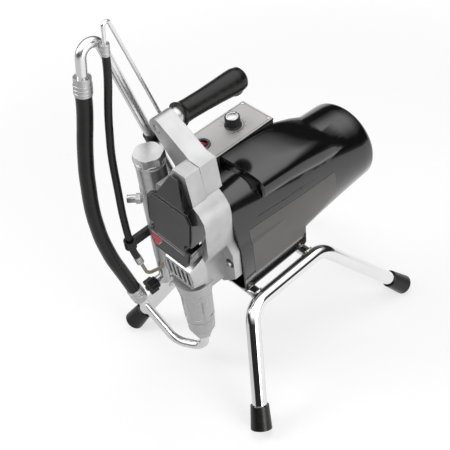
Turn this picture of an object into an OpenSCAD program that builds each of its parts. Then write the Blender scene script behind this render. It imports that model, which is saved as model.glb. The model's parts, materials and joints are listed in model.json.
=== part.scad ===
// Airless paint sprayer on a tubular stand.
// Origin: floor level, under the middle of the stand. +Z up, the pump at the front (-Y), the motor behind (+Y).

/* [Stand] */
// Outer diameter of the leg tubes
tube_od = 25; // [20:0.5:30]
// Wall of the leg tubes
tube_wall = 2; // [1:0.25:3]
// Half the distance between the front feet
foot_front_x = 166; // [150:1:185]
// Distance of the front feet in front of the middle
foot_front_y = 196; // [180:1:220]
// Half the distance between the rear feet
foot_rear_x = 147; // [130:1:170]
// Distance of the rear feet behind the middle
foot_rear_y = 199.7; // [195:0.1:205]
// Half the distance between the side rails
rail_x = 74; // [70:1:76]
// Height of the side rails above the floor
rail_z = 173; // [168:1:175]
// Bend radius of the leg tubes
leg_bend_r = 42; // [35:1:50]
// Outer diameter of the cross tubes
cross_od = 20; // [14:1:22]

/* [Boots] */
// Length of a rubber boot along its leg
boot_len = 40; // [30:1:50]
// Radius of the boot at the sole
boot_sole_r = 18; // [16.5:0.5:20]
// Radius of the boot at the top
boot_top_r = 15.5; // [15:0.25:17]

/* [Drive housing] */
// Half width of the housing
housing_w = 45; // [43:1:50]
// Front face of the housing, in front of the middle
housing_front = 160; // [158:1:164]
// Rear face of the housing, in front of the middle
housing_rear = 107; // [105:1:109]
// Height of the motor axis above the floor
motor_z = 288; // [286:1:290]
// Wall of the castings
cast_wall = 5; // [4:0.5:6]
// Height of the neck's top face
neck_top = 458; // [450:1:466]

/* [Gear train] */
// Gear module
gear_m = 1; // [1:1:1]
// Throw of the crank pin
crank_throw = 8; // [6:0.5:9]
// Radius of the crank pin
crank_pin_r = 6; // [5:0.5:7]

/* [Pump] */
// Distance of the pump axis in front of the middle
pump_y = 162; // [160:1:164]
// Radius of the pump cylinder at the top
pump_r = 27; // [25:0.5:28]
// Radius of the pump bore
bore_r = 12; // [10:0.5:14]
// Radius of the piston rod
rod_r = 6; // [5:0.5:7]
// Height of the pump cylinder's lower end
pump_low = 140; // [138:1:142]
// Height of the pump cylinder's shoulder, under the housing boss
pump_top = 212; // [210:1:214]

/* [Filter] */
// Distance of the filter axis left of the middle
filter_x = 92; // [90:1:94]
// Distance of the filter axis in front of the middle
filter_y = 139; // [136:1:141]
// Radius of the filter bowl
filter_r = 24.5; // [23:0.5:25]
// Height of the filter cap's top face
filter_top = 428; // [420:1:436]

/* [Handle] */
// Distance of the grip axis left of the middle
grip_x = 67; // [64:1:70]
// Height of the grip axis
grip_z = 481; // [476:1:488]
// Radius of the grip
grip_r = 17.5; // [16:0.5:19]
// Length of the grip
grip_len = 132; // [115:1:145]

/* [Motor cover] */
// Radius of the shroud at its rear end
shroud_r = 71; // [69:1:73]
// Rear end of the shroud, behind the middle
shroud_rear = 196; // [188:1:200]
// Wall of the shroud
shroud_wall = 3; // [2:0.5:4]
// Height of the raised saddle
saddle_z = 389; // [387:1:392]

/* [Control box] */
// Left side of the control box, left of the middle
box_left = 109; // [106:1:111]
// Right side of the control box, left of the middle
box_right = 40; // [39:1:42]
// Front end of the control box, in front of the middle
box_front = 66; // [62:1:70]
// Rear end of the control box, behind the middle
box_rear = 72; // [68:1:80]
// Height of the control plate's top face
plate_z = 388; // [386:1:391]
// Sheet thickness
sheet = 1.5; // [1:0.25:2]

/* [Hoses] */
// Outer diameter of the suction hose
suction_hose_od = 24; // [20:1:26]
// Outer diameter of the steel suction tube
suction_tube_od = 16; // [14:0.5:18]
// Outer diameter of the return hose
return_hose_od = 12; // [10:0.5:13]
// Outer diameter of the steel return tube
return_tube_od = 6; // [5:0.5:8]

/* [Hidden] */
$fn = 48;
eps = 0.01;
fit = 0.3;
run = 0.05;

// Straight members and bends -----------------------------------------------------------------------
function unit(v) = v / norm(v);
function turn(p, i) = acos(unit(p[i] - p[i - 1]) * unit(p[i + 1] - p[i]));
function corner_r(r, i) = is_list(r) ? r[i - 1] : r;
function setback(p, i, r) = (i == 0 || i == len(p) - 1) ? 0 : corner_r(r, i) * tan(turn(p, i) / 2);

// Cylinder from point a to point b
module rod(a, b, r, r2 = -1) {
    d = b - a;
    translate(a)
        rotate([0, acos(d[2] / norm(d)), atan2(d[1], d[0])])
            cylinder(h = norm(d), r1 = r, r2 = r2 < 0 ? r : r2);
}

// Ring or disc section for a tube, wall 0 leaves it solid
module tube_section(r, wall) {
    difference() {
        circle(r);
        if (wall > 0)
            circle(r - wall);
    }
}

// Straight length of tube from a to b
module tube_run(a, b, r, wall) {
    d = b - a;
    translate(a)
        rotate([0, acos(d[2] / norm(d)), atan2(d[1], d[0])])
            linear_extrude(height = norm(d))
                tube_section(r, wall);
}

// Tube bend round the corner b
module bend(a, b, c, bend_r, r, wall) {
    u = unit(b - a);
    v = unit(c - b);
    n = unit(cross(u, v));
    ang = acos(u * v);
    start = b - u * bend_r * tan(ang / 2);
    ex = -unit(cross(n, u));
    centre = start - ex * bend_r;
    multmatrix([[ex[0], u[0], n[0], centre[0]], [ex[1], u[1], n[1], centre[1]],
            [ex[2], u[2], n[2], centre[2]], [0, 0, 0, 1]])
        rotate_extrude(angle = ang)
            translate([bend_r, 0])
                tube_section(r, wall);
}

// Tube along the points p, its corners bent to bend_r, one radius or one for each corner
module bent_pipe(p, bend_r, r, wall = 0) {
    last = len(p) - 1;
    for (i = [0 : last - 1]) {
        d = unit(p[i + 1] - p[i]);
        tube_run(p[i] + d * (setback(p, i, bend_r) + (i > 0 ? eps : 0)),
            p[i + 1] - d * (setback(p, i + 1, bend_r) + (i < last - 1 ? eps : 0)), r, wall);
    }
    for (i = [1 : last - 1])
        bend(p[i - 1], p[i], p[i + 1], corner_r(bend_r, i), r, wall);
}

// Cylinder along +Y from y0 to y1
module ycyl(r, y0, y1, x = 0, z = 0, r2 = -1) {
    translate([x, y0, z])
        rotate([-90, 0, 0])
            cylinder(h = y1 - y0, r1 = r, r2 = r2 < 0 ? r : r2);
}

// Cylinder along +Z from z0 to z1
module zcyl(r, z0, z1, x = 0, y = 0, r2 = -1) {
    translate([x, y, z0])
        cylinder(h = z1 - z0, r1 = r, r2 = r2 < 0 ? r : r2);
}

// Outline given in X and Z, extruded along Y from y0 to y1
module slab(y0, y1) {
    translate([0, y1, 0])
        rotate([90, 0, 0])
            linear_extrude(y1 - y0)
                children();
}

// Right half of an outline, mirrored to both sides
function both_sides(h) = concat(h, [for (i = [len(h) - 1 : -1 : 0]) [-h[i][0], h[i][1]]]);

// Outlines as lists of points: corners cut twice, two outlines mixed, one drawn onto a circle, one drawn in by t
function cut_corners(p) = [for (i = [0 : len(p) - 1]) let (q = p[(i + 1) % len(p)]) each [0.75 * p[i] + 0.25 * q, 0.25 * p[i] + 0.75 * q]];
function rounded(p) = cut_corners(cut_corners(p));
function mix(p, q, k) = [for (i = [0 : len(p) - 1]) p[i] * (1 - k) + q[i] * k];
function on_circle(p, c, r) = [for (v = p) c + unit(v - c) * r];
function inset(p, c, t) = [for (v = p) v - unit(v - c) * t];

// Skin over outlines in XZ, each at its own distance along Y
module skin(rings) {
    m = len(rings);
    n = len(rings[0][1]);
    points = [for (r = rings) for (v = r[1]) [v[0], r[0], v[1]]];
    sides = [for (i = [0 : m - 2]) for (k = [0 : n - 1]) let (j = (k + 1) % n)
        each [[i * n + k, i * n + j, (i + 1) * n + j], [i * n + k, (i + 1) * n + j, (i + 1) * n + k]]];
    front = [[for (k = [n - 1 : -1 : 0]) k]];
    back = [[for (k = [0 : n - 1]) (m - 1) * n + k]];
    polyhedron(points = points, faces = concat(sides, front, back));
}

// Tube swept along free points, as one closed skin
function tangent(p, i) = unit(p[min(i + 1, len(p) - 1)] - p[max(i - 1, 0)]);
function side_dir(t) = unit(cross(t, [1, 0, 0]));
module swept_tube(p, d, sides) {
    n = len(p);
    rings = [for (i = [0 : n - 1]) let (t = tangent(p, i), a = side_dir(t), b = cross(t, a))
        for (k = [0 : sides - 1]) p[i] + (a * cos(360 * k / sides) + b * sin(360 * k / sides)) * d / 2];
    skin = [for (i = [0 : n - 2]) for (k = [0 : sides - 1]) let (m = (k + 1) % sides)
        each [[i * sides + k, i * sides + m, (i + 1) * sides + m], [i * sides + k, (i + 1) * sides + m, (i + 1) * sides + k]]];
    caps = [for (k = [1 : sides - 2]) each [[0, k + 1, k], [(n - 1) * sides, (n - 1) * sides + k, (n - 1) * sides + k + 1]]];
    polyhedron(points = rings, faces = concat(skin, caps));
}

// Stand --------------------------------------------------------------------------------------------
rail_front_y = -110;
rail_rear_y = 56;
foot_axis_z = 9;
sole_cut = 1.5;
boot_floor = 6;
front_cross_y = -86;
rear_cross_y = 34;

function rail_end(side, front) = [side * rail_x, front ? rail_front_y : rail_rear_y, rail_z];
function foot_mark(side, front) = front ? [side * foot_front_x, -foot_front_y, foot_axis_z]
    : [side * foot_rear_x, foot_rear_y, foot_axis_z];
function leg_dir(side, front) = unit(rail_end(side, front) - foot_mark(side, front));
// Centre of the sole, placed so that the tilted sole dips sole_cut under the floor before it is cut flat
function sole_centre(side, front) =
    let (d = leg_dir(side, front), h = boot_sole_r * sqrt(1 - d[2] * d[2]) - sole_cut)
    foot_mark(side, front) + d * (h - foot_axis_z) / d[2];
function tube_end(side, front) = sole_centre(side, front) + leg_dir(side, front) * (boot_floor + run);

module leg_frame(side) {
    color("silver")
        bent_pipe([tube_end(side, true), rail_end(side, true), rail_end(side, false), tube_end(side, false)],
            leg_bend_r, tube_od / 2, tube_wall);
}
module left_leg_frame() leg_frame(-1);
module right_leg_frame() leg_frame(1);

module boot(side, front) {
    c = sole_centre(side, front);
    d = leg_dir(side, front);
    color([0.1, 0.1, 0.1])
        difference() {
            rod(c, c + d * boot_len, boot_sole_r, boot_top_r);
            rod(c + d * boot_floor, c + d * (boot_len + 1), tube_od / 2 + run);
            translate([c[0] - 40, c[1] - 40, -20])
                cube([80, 80, 20]);
        }
}
module front_left_boot() boot(-1, true);
module front_right_boot() boot(1, true);
module rear_left_boot() boot(-1, false);
module rear_right_boot() boot(1, false);

module cross_tube(y) {
    reach = rail_x - sqrt(pow(tube_od / 2, 2) - pow(cross_od / 2, 2)) - run;
    difference() {
        rod([-reach, y, rail_z], [reach, y, rail_z], cross_od / 2);
        rod([-reach - 1, y, rail_z], [reach + 1, y, rail_z], cross_od / 2 - tube_wall);
        for (side = [-1, 1])
            rod([side * rail_x, y - 30, rail_z], [side * rail_x, y + 30, rail_z], tube_od / 2 + run);
    }
}
module cross_tubes() {
    color("silver") {
        cross_tube(front_cross_y);
        cross_tube(rear_cross_y);
    }
}

// Drive housing ------------------------------------------------------------------------------------
face_front = -housing_front;
face_rear = -housing_rear;
block_w = 28;
flange_w = 56;
block_bottom = 220;
flange_bottom = 213;
shoulder_low = 308;
shoulder_high = 365;
crown_z = 404;
flange_y = -122;
boss_r = 33;
boss_low_r = 28.5;
neck_w = 20;
neck_foot_w = 27;
neck_rear = -133;
crank_dz = 45;
crank_z = motor_z + crank_dz;
idler_x = 17.986;
idler_z = motor_z + 12.667;
pump_neck_r = 20;
boss_top = 236;
partition_front = -148.5;
partition_rear = -140.5;

function block_half() = [[block_w, block_bottom], [block_w, shoulder_low - 28], [housing_w, shoulder_low],
    [housing_w + 2, shoulder_high + 3], [housing_w, shoulder_high + 17], [housing_w - 9, crown_z - 9], [24, crown_z]];
function flange_half() = [[block_w + 2, flange_bottom], [flange_w, flange_bottom + 23],
    [flange_w, shoulder_low - 19], [housing_w, shoulder_low], [housing_w + 2, shoulder_high + 3],
    [housing_w, shoulder_high + 17], [housing_w - 9, crown_z - 9], [24, crown_z]];
function cavity_half() = let (c = cast_wall) [[block_w - c, shoulder_low - 30], [housing_w - c - 0.5, shoulder_low - 2],
    [housing_w - c - 0.5, shoulder_high - 4], [housing_w - c - 6, shoulder_high + 6], [housing_w - 15 - c, crown_z - c - 2]];
screw_spots = [[-47, 267], [47, 267]];
ledge_rear = -118;
// The yoke's window leaves room for the pin at every angle and every height of the rod
yoke_t = 8;
window_w = crank_throw + crank_pin_r + 1;
window_h = 2 * crank_throw + crank_pin_r + 1;
yoke_wall = 6;
chamber_w = 29;
chamber_low = crank_z - window_h - yoke_wall - crank_throw - 4;
chamber_high = crank_z + window_h + yoke_wall + crank_throw + 3;

module drive_housing() {
    color("gainsboro")
        difference() {
            union() {
                slab(face_front, flange_y)
                    polygon(both_sides(block_half()));
                slab(flange_y - eps, face_rear)
                    polygon(both_sides(flange_half()));
                slab(face_front, neck_rear)
                    polygon([[-neck_foot_w, crown_z - 2], [neck_foot_w, crown_z - 2], [neck_foot_w, 408], [neck_w, neck_top],
                        [-7, neck_top], [-20, 430], [-neck_foot_w, 408]]);
                // Ledge towards the filter
                slab(face_front, ledge_rear)
                    polygon([[-44, 350], [-58, 350], [-58, 394], [-54, 402], [-24, crown_z], [-24, 380]]);
                zcyl(boss_low_r, pump_top, boss_top, 0, -pump_y, boss_r);
            }
            // Gear cavity, open to the motor
            slab(partition_rear, face_rear + 1)
                polygon(both_sides(cavity_half()));
            // Rod chamber, open to the front
            slab(face_front - 1, partition_front) {
                translate([-chamber_w, chamber_low])
                    square([2 * chamber_w, chamber_high - chamber_low]);
                translate([-16, boss_top])
                    square([32, chamber_low + 1 - boss_top]);
            }
            // Room for the rod inside the boss, and the pump's screwed seat
            zcyl(pump_neck_r + run, pump_top - 1, boss_top + 1, 0, -pump_y);
            // Room for the idler next to the wall
            ycyl(teeth_idler * gear_m / 2 + 1.3, pinion_front - 1, face_rear + 1, idler_x, idler_z);
            ycyl(bearing_r + run, partition_front - 1, partition_rear + 1, 0, crank_z);
            ycyl(idler_shaft_r + run, partition_rear - 5, partition_rear + 1, idler_x, idler_z);
            for (p = screw_spots)
                ycyl(screw_r + 0.2, flange_y - 1, face_rear + 1, p[0], p[1]);
            for (p = cover_screw_spots)
                ycyl(screw_r + 0.2, face_front - 1, face_front + 8, p[0], p[1]);
        }
}

screw_r = 2.5;
screw_head_r = 4.6;
screw_head_h = 5;
cover_screw_spots = [[-40, 349], [40, 349]];
cover_front = -188.5;
cover_ear_y = face_front - 7;
module socket_screw(p, y, shank) {
    difference() {
        union() {
            ycyl(screw_head_r, y - screw_head_h, y, p[0], p[1]);
            ycyl(screw_r, y - eps, y + shank, p[0], p[1]);
        }
        translate([p[0], y - screw_head_h - 1, p[1]])
            rotate([-90, 0, 0])
                cylinder(h = 4, r = 2.4, $fn = 6);
    }
}
module socket_screws() {
    color("silver") {
        for (p = screw_spots)
            socket_screw(p, flange_y, 14);
        for (p = cover_screw_spots)
            socket_screw(p, cover_ear_y, 14);
    }
}

// Front cover: a deep black shell whose face leans back, with a pointed hood against the neck
cover_wall = 3;
cover_bottom = 302;
cover_mid = 360;
cover_lean = 8;
cover_rim = [[28, cover_bottom], [37, 316], [44, 345], [48, 364], [47, 381], [38, 395], [26, 403]];
cover_face = [[34, 308], [43, 320], [47, 350], [50, 382], [50, 399], [40, 412]];
badge_face = [[32, 311], [41, 322], [44, 350], [46, 382], [46, 398], [37, 409]];
function drawn_in(h, t) = [for (v = h) [v[0] - t, v[1] + (v[1] < cover_mid ? t : -t)]];
module leaned() {
    translate([0, cover_front, cover_mid])
        rotate([-cover_lean, 0, 0])
            translate([0, -cover_front, -cover_mid])
                children();
}
module cover_shape(t) {
    hull() {
        slab(face_front - 1 - t, face_front - t)
            polygon(both_sides(drawn_in(cover_rim, t)));
        leaned()
            slab(cover_front + t, cover_front + t + 1)
                polygon(both_sides(drawn_in(cover_face, t)));
    }
    hull() {
        leaned()
            slab(cover_front + t, cover_front + t + 1)
                polygon([[-31 + t, 398], [31 - t, 398], [31 - t, 411 - t], [-31 + t, 411 - t]]);
        slab(face_front - 5, face_front - 4)
            polygon([[-8 + t, 436], [8 - t, 436], [8 - t, 449 - t], [-8 + t, 449 - t]]);
        slab(face_front - 1 - t, face_front - t)
            polygon([[-20 + t, 390], [20 - t, 390], [11 - t, 443 - t], [-11 + t, 443 - t]]);
    }
}
module screw_recess(r, y1) {
    for (p = cover_screw_spots)
        hull()
            for (k = [1, 1.5])
                ycyl(r, cover_front - 15, y1, p[0] * k, p[1]);
}
module front_cover() {
    color([0.05, 0.05, 0.05])
        difference() {
            cover_shape(0);
            difference() {
                cover_shape(cover_wall);
                screw_recess(9, face_front + 1);
            }
            slab(face_front - cover_wall - 1, face_front + 1)
                polygon(both_sides([[25, 306], [30, 318], [30, 362], [38, 368], [36, 376], [28, 384]]));
            stem_opening(cover_bottom - 4, cover_bottom + 10);
            screw_recess(6.5, cover_ear_y);
            for (p = cover_screw_spots)
                ycyl(screw_r + 0.2, cover_ear_y - 1, face_front + 1, p[0], p[1]);
        }
}

// Way for the yoke through the cover's floor and the guard's top
module stem_opening(z0, z1) {
    w = window_w + yoke_wall + 2;
    translate([-w, -pump_y - yoke_t / 2 - 4, z0])
        cube([2 * w, 12 + yoke_t, z1 - z0]);
}

badge_t = 1.5;
module badge_plate() {
    color([0.25, 0.25, 0.26])
        difference() {
            leaned()
                slab(cover_front - badge_t, cover_front)
                    polygon(both_sides(badge_face));
            screw_recess(7.5, face_front);
        }
}

// Slotted guard in front of the rod, over the pump's boss
guard_top = cover_bottom - 2;
guard_front = -187;
guard_wall = 3;
guard_rim = [[28, boss_top + 1], [37, 250], [37, 280], [32, guard_top]];
guard_face = [[26, 246], [34, 254], [34, 270], [28, 284]];
function guard_in(h, t) = [for (v = h) [v[0] - t, v[1] + (v[1] < 265 ? t : -t)]];
module guard_shape(t) {
    hull() {
        slab(face_front - 1, face_front)
            polygon(both_sides(guard_in(guard_rim, t)));
        slab(guard_front + t, guard_front + t + 1)
            polygon(both_sides(guard_in(guard_face, t)));
    }
}
module rod_guard() {
    color("gainsboro")
        difference() {
            guard_shape(0);
            guard_shape(guard_wall);
            stem_opening(guard_top - guard_wall - 8, guard_top + 1);
            translate([-23, face_front - 1.5, boss_top])
                cube([46, 3, guard_top - boss_top - 4]);
            for (x = [-22 : 11 : 22])
                translate([x, guard_front, 265])
                    rotate([0, -10, 0])
                        cube([6.6, 12, 27], center = true);
            zcyl(pump_neck_r, boss_top - 2, boss_top + 14, 0, -pump_y);
        }
}

// Handle -------------------------------------------------------------------------------------------
arm_t = 32;
arm_rear = neck_rear + arm_t;
arm_end_r = 15.5;
core_r = 8;
collar_r = 15;
collar_rear = arm_rear + 10;
grip_rear = collar_rear + grip_len;
base_bottom = 404;
module handle_arm() {
    c = [-grip_x, grip_z + 2];
    color("gainsboro")
        difference() {
            slab(neck_rear, arm_rear) {
                polygon([[neck_foot_w - 1, base_bottom], [neck_w, neck_top], [2, neck_top + 1],
                    c + arm_end_r * [cos(58), sin(58)], c + arm_end_r * [cos(196), sin(196)],
                    [-40, 432], [-22, base_bottom]]);
                translate(c)
                    circle(r = arm_end_r);
            }
            ycyl(core_r + run, neck_rear - 1, arm_rear + 1, -grip_x, grip_z);
        }
}
module grip_core() {
    color("silver") {
        ycyl(core_r, neck_rear + 2, grip_rear - 6, -grip_x, grip_z);
        difference() {
            ycyl(collar_r, arm_rear, collar_rear, -grip_x, grip_z);
            ycyl(core_r - 1, arm_rear - 1, collar_rear + 1, -grip_x, grip_z);
        }
    }
}
// Grip outline: distance along the grip, radius
function grip_outline() = [[0, grip_r + 2.5], [3.5, grip_r + 2.3], [8, grip_r - 0.3], [20, grip_r - 1], [50, grip_r - 0.6],
    [80, grip_r + 0.7], [104, grip_r + 2.2], [116, grip_r + 2.4], [grip_len - 6, grip_r + 0.5], [grip_len - 2, grip_r - 4],
    [grip_len, grip_r - 10]];
// The grip droops to the rear and ends in a heel
grip_tilt = 2.5;
module handle_grip() {
    color([0.1, 0.1, 0.1])
        difference() {
            union() {
                translate([-grip_x, collar_rear - 1, grip_z])
                    rotate([-90 - grip_tilt, 0, 0])
                        rotate_extrude()
                            polygon(concat([[0, 0]], [for (p = grip_outline()) [p[1], p[0]]], [[0, grip_len]]));
                translate([-grip_x, collar_rear + grip_len - 20, grip_z - 14])
                    sphere(r = 15.5);
            }
            ycyl(grip_r + 10, collar_rear - 8, collar_rear, -grip_x, grip_z);
            ycyl(core_r + run, collar_rear - 2, grip_rear - 6 + run, -grip_x, grip_z);
        }
}

// Motor cover --------------------------------------------------------------------------------------
shroud_front = face_rear + fit;
shroud_z = motor_z - 1;
skirt_w = 61;
skirt_low = 192;
skirt_rear = 34;
saddle_front = -44;
// Half outlines of the cover, from the bottom up: at the housing, behind the side panels, and the round end
function nose_half() = [[26, 209], [54, 234], [57, 262], [58, 292], [54, 318], [48, 342], [43, 362], [32, 375], [12, 377]];
function waist_half() = [[24, 206], [48, 216], [61, 236], [63, 262], [63, 298], [61, 325], [54, 347], [36, 368], [12, 377]];
nose_c = [0, 292];
tail_c = [0, shroud_z];
waist_y = 30;
round_y = 188;
body_nose = rounded(both_sides(nose_half()));
body_waist = rounded(both_sides(waist_half()));
function body_front(t) = let (k = (t - shroud_front) / (waist_y - shroud_front)) mix(body_nose, body_waist, k);
function body_rear(y, r) = let (k = (y - waist_y) / (round_y - waist_y))
    mix(body_waist, on_circle(body_waist, tail_c, r), min(k, 1));
module shroud_body(t) {
    skin([for (y = [shroud_front - (t > 0 ? 1 : 0), -60, -15, waist_y]) [y, inset(body_front(max(y, shroud_front)), nose_c, t)],
        for (y = [60, 90, 120, 150, 172, round_y]) [y, inset(body_rear(y, shroud_r), nose_c * (round_y - y) / 158
            + tail_c * (y - waist_y) / 158, t)],
        for (e = [[3, 1], [6.5, 3.5], [8, 7.5]]) [min(round_y + e[0], shroud_rear - t - 0.3 * (8 - e[0])),
            on_circle(body_waist, tail_c, shroud_r - e[1] - t)]]);
}
// Raised pad over the top: how far along, then its half outline
saddle_rings = [[saddle_front - 3, [[42, 345], [52, 358], [52, 369], [46, 379], [36, 383]]],
    [saddle_front, [[42, 345], [56, 358], [55, 372], [50, 382], [39, 387]]],
    [10, [[43, 340], [58, 355], [56, 370], [50, 380], [38, 386]]],
    [40, [[44, 335], [59, 351], [56, 367], [49, 378], [37, 384.5]]],
    [75, [[45, 326], [60, 345], [56, 360], [48, 372], [35, 379]]],
    [110, [[43, 318], [58, 339], [53, 351], [45, 361], [31, 367]]],
    [140, [[40, 312], [53, 331], [47, 343], [38, 350], [26, 354]]],
    [165, [[36, 308], [48, 324], [41, 334], [33, 340], [22, 343]]]];
saddle_c = [0, 345];
module saddle_body(t) {
    skin([for (r = saddle_rings) let (h = [for (v = r[1]) [v[0], v[1] + saddle_z - 389]])
        [r[0] + (r[0] < saddle_front + 1 ? t : 0), inset(rounded(both_sides(h)), saddle_c, t)]]);
}
function skirt_half(t) = [[skirt_w - 12 - t, skirt_low - t * 4], [skirt_w - 3 - t, skirt_low + (t > 0 ? -10 : 0)],
    [skirt_w - t, skirt_low + 8], [skirt_w - t, 290], [skirt_w - 10 - t, 312]];
box_corner = [-65, 350];
box_step_z = 364;
box_bottom = 300;
function box_outline(g) = [[-box_left - 30, box_bottom - g], [box_corner[0] + g, box_bottom - g],
    [box_corner[0] + g, box_corner[1] - g / 2], [-box_right + g, box_step_z - g / 2], [-box_right + g, plate_z + 30],
    [-box_left - 30, plate_z + 30]];
// Points along the crease, and its half width at each
crease = [[52.5, -104, 331, 0.3], [54.5, -62, 330, 1.6], [57.5, -15, 328.5, 2], [60, 30, 326, 1.8], [60.8, 74, 324, 0.3]];
module motor_shroud() {
    color([0.04, 0.04, 0.04])
        difference() {
            union() {
                shroud_body(0);
                saddle_body(0);
                slab(shroud_front, skirt_rear)
                    polygon(both_sides(skirt_half(0)));
            }
            shroud_body(shroud_wall);
            saddle_body(shroud_wall);
            slab(shroud_front - 1, skirt_rear - shroud_wall)
                polygon(both_sides(skirt_half(shroud_wall)));
            slab(shroud_front - 1, shroud_front + 3)
                polygon(inset(body_nose, nose_c, shroud_wall));
            slab(-box_front - fit, box_rear + fit)
                polygon(box_outline(fit));
            // Room for the bridge and its posts
            translate([-bridge_w / 2 - 0.5, shroud_front - 1, skirt_low - 2])
                cube([bridge_w + 1, rear_cross_y + post_w / 2 + 2.5 - shroud_front, bridge_top + 3 - skirt_low]);
            // Crease along each side
            for (side = [-1, 1])
                for (i = [0 : len(crease) - 2])
                    rod([side * crease[i][0], crease[i][1], crease[i][2]],
                        [side * crease[i + 1][0], crease[i + 1][1], crease[i + 1][2]], crease[i][3], crease[i + 1][3], $fn = 6);
            for (z = [-36 : 9 : 36])
                translate([-sqrt(48 * 48 - z * z), shroud_rear - 6, shroud_z + z - 2])
                    cube([2 * sqrt(48 * 48 - z * z), 12, 4]);
        }
}

pan_low = 187;
module belly_pan() {
    color([0.05, 0.05, 0.05])
        difference() {
            slab(shroud_front + 4, skirt_rear - shroud_wall - fit)
                polygon(both_sides([[skirt_w - 18, pan_low], [skirt_w - shroud_wall - 1, skirt_low + 2],
                    [skirt_w - shroud_wall - fit, 214], [skirt_w - shroud_wall - 2 - fit, 214],
                    [skirt_w - shroud_wall - 3.4, skirt_low + 3], [skirt_w - 19, pan_low + 2]]));
            for (y = [front_cross_y, rear_cross_y])
                translate([-post_w / 2 - fit, y - post_w / 2 - fit, pan_low - 1])
                    cube([post_w + 2 * fit, post_w + 2 * fit, 10]);
        }
}

// Bridge: a bar under the motor that stands on both cross tubes
post_w = 24;
bridge_w = 50;
bridge_top = flange_bottom;
bridge_t = 6;
can_r = 54;
can_front = -97;
can_rear = 95;
module mount_bridge() {
    color("silver")
        difference() {
            union() {
                translate([-bridge_w / 2, flange_y + 1, bridge_top - bridge_t])
                    cube([bridge_w, rear_cross_y + post_w / 2 - flange_y - 1, bridge_t]);
                for (y = [front_cross_y, rear_cross_y])
                    translate([-post_w / 2, y - post_w / 2, rail_z])
                        cube([post_w, post_w, bridge_top - rail_z - 1]);
                for (y = [-70, rear_cross_y])
                    translate([-22, y - 8, bridge_top - 1])
                        cube([44, 16, 36]);
            }
            for (y = [front_cross_y, rear_cross_y])
                rod([-40, y, rail_z], [40, y, rail_z], cross_od / 2 + run);
            ycyl(can_r + run, can_front, can_rear, 0, motor_z);
        }
}

// Motor --------------------------------------------------------------------------------------------
shaft_r = 5;
motor_bearing_r = 14;
core_rear = 60;
bell_t = 9;
module bell(y0, y1, r) {
    difference() {
        ycyl(r, y0, y1, 0, motor_z);
        ycyl(motor_bearing_r + run, y0 - 1, y1 + 1, 0, motor_z);
    }
}
module motor_front_bell() {
    color("silver")
        difference() {
            union() {
                slab(shroud_front - fit, can_front)
                    polygon(both_sides([[24, 256], [42, 262], [42, 340], [36, 357], [26, 367]]));
                ycyl(can_r - 3 - run, can_front - eps, can_front + 8, 0, motor_z);
            }
            ycyl(motor_bearing_r + run, shroud_front - 2, can_front + 9, 0, motor_z);
            ycyl(crank_journal_r + run, shroud_front - 2, shroud_front + 7, 0, crank_z);
            ycyl(idler_shaft_r + run, shroud_front - 2, shroud_front + 6, idler_x, idler_z);
        }
}
module motor_can() {
    color("dimgray")
        difference() {
            ycyl(can_r, can_front, can_rear, 0, motor_z);
            ycyl(can_r - 3, can_front - 1, can_rear + 1, 0, motor_z);
        }
    color("peru")
        difference() {
            ycyl(can_r - 3, -75, core_rear, 0, motor_z);
            ycyl(32, -76, core_rear + 1, 0, motor_z);
        }
}
module motor_rear_bell() {
    color("silver")
        bell(can_rear - bell_t, can_rear, can_r - 3 - run);
}
module bearing(r_in, r_out, y0, y1, x, z) {
    difference() {
        ycyl(r_out, y0, y1, x, z);
        ycyl(r_in, y0 - 1, y1 + 1, x, z);
    }
}
module ball_bearings() {
    color("lightgray") {
        bearing(shaft_r + run, motor_bearing_r, can_front - 2, can_front + 8, 0, motor_z);
        bearing(shaft_r + run, motor_bearing_r, can_rear - bell_t, can_rear, 0, motor_z);
        bearing(crank_journal_r + run, bearing_r, partition_front, partition_rear, 0, crank_z);
    }
}

// Spur gear outline with n teeth, one tooth centred on angle a0
function gear_points(n, a0) = [for (i = [0 : n - 1]) for (k = [[-0.30, -1.05], [-0.13, 0.55], [0.13, 0.55], [0.30, -1.05]])
    let (a = a0 + 360 * (i + k[0]) / n, r = gear_m * (n / 2 + k[1])) [r * cos(a), r * sin(a)]];
module gear(n, a0, y0, y1, x, z) {
    translate([x, 0, z])
        slab(y0, y1)
            polygon(gear_points(n, a0));
}
teeth_pinion = 10;
teeth_idler = 34;
teeth_idler_small = 14;
teeth_crank = 60;
mesh_a = atan2(12.667, 17.986);
mesh_b = atan2(crank_dz - 12.667, -17.986);
pinion_front = -124;
pinion_rear = -114;
module rotor_shaft() {
    color("gray") {
        gear(teeth_pinion, mesh_a, pinion_front, pinion_rear, 0, motor_z);
        ycyl(3.2, pinion_rear - eps, can_front - 2.5, 0, motor_z);
        ycyl(shaft_r, can_front - 2.5, fan_y + 18, 0, motor_z);
        ycyl(30, -68, 52, 0, motor_z);
    }
}
bearing_r = 15;
crank_journal_r = 8;
idler_shaft_r = 4;
module idler_gear() {
    color("darkgray") {
        gear(teeth_idler, mesh_a + 180 + 180 / teeth_idler, pinion_front + 1, pinion_rear - 1, idler_x, idler_z);
        gear(teeth_idler_small, mesh_b, -139, pinion_front + 1 + eps, idler_x, idler_z);
        ycyl(idler_shaft_r, partition_rear - 4, shroud_front + 5, idler_x, idler_z);
    }
}
crank_disc_r = 21;
pin_front = face_front - 10;
module crank_gear() {
    color("darkgray") {
        gear(teeth_crank, mesh_b + 180 + 180 / teeth_crank, -138, -128, 0, crank_z);
        ycyl(crank_journal_r, partition_front - eps, shroud_front + 6, 0, crank_z);
        ycyl(crank_disc_r, face_front + 3.5, partition_front - 0.5, 0, crank_z);
        ycyl(crank_journal_r, partition_front - 0.6, partition_front, 0, crank_z);
        ycyl(crank_pin_r, pin_front, face_front + 3.6, crank_throw, crank_z);
    }
}
fan_y = 112;
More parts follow.
